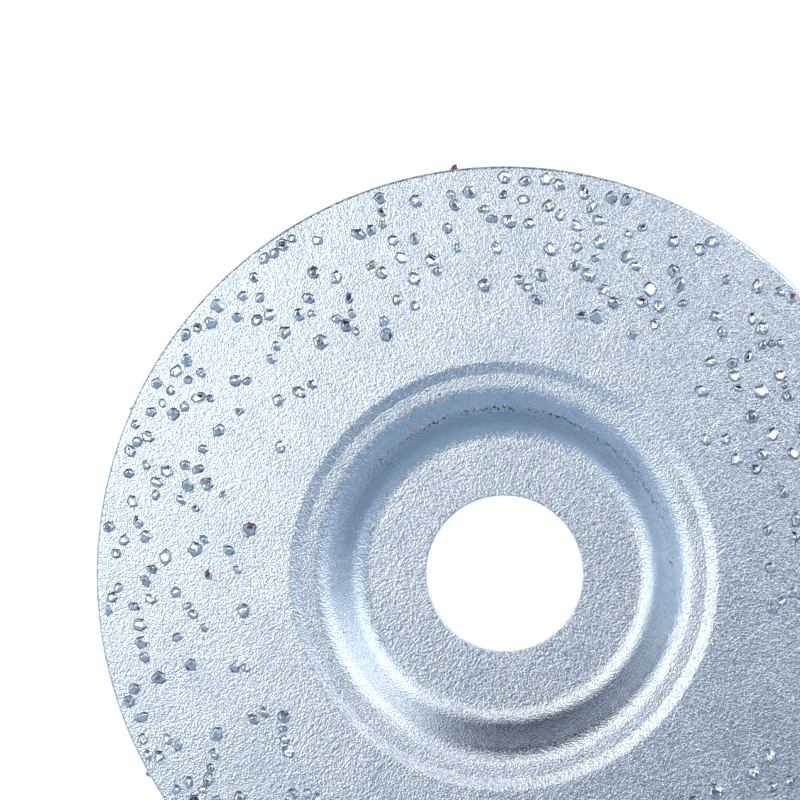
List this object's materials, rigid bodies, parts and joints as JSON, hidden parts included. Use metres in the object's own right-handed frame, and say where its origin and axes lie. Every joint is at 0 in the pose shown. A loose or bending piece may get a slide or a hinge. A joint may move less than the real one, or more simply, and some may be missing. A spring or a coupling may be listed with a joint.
{
  "type": "angle grinder carving disc",
  "caption": "Pressed steel carving disc for an angle grinder, with a depressed centre, a round arbor bore and carbide grains bonded to its working face.",
  "frame": {"origin": "on the bore's axis, on the back of the hub, where the disc seats on the machine's flange", "axes": "+Z along the disc's axis towards the working face; +X and +Y in the plane of the disc"},
  "size_m": [0.1159, 0.1163, 0.0087],
  "materials": {
    "plated_steel": "bright silver plating, fine orange-peel grain",
    "braze_coating": "bright silver plating over braze, orange-peel texture",
    "carbide_grain": "crushed carbide grains under glossy plating"
  },
  "bodies": {
    "root": {"face_coating": "braze_coating", "grains_sector_01": "carbide_grain", "grains_sector_02": "carbide_grain", "grains_sector_03": "carbide_grain", "grains_sector_04": "carbide_grain", "grains_sector_05": "carbide_grain", "grains_sector_06": "carbide_grain", "grains_sector_07": "carbide_grain", "grains_sector_08": "carbide_grain", "grains_sector_09": "carbide_grain", "grains_sector_10": "carbide_grain", "grains_sector_11": "carbide_grain", "grains_sector_12": "carbide_grain", "grains_sector_13": "carbide_grain", "grains_sector_14": "carbide_grain", "grains_sector_15": "carbide_grain", "grains_sector_16": "carbide_grain", "grains_sector_17": "carbide_grain", "grains_sector_18": "carbide_grain", "grains_sector_19": "carbide_grain", "grains_sector_20": "carbide_grain", "grains_sector_21": "carbide_grain", "grains_sector_22": "carbide_grain", "grains_sector_23": "carbide_grain", "grains_sector_24": "carbide_grain", "rim_grains": "carbide_grain", "steel_disc": "plated_steel"}
  },
  "joints": []
}
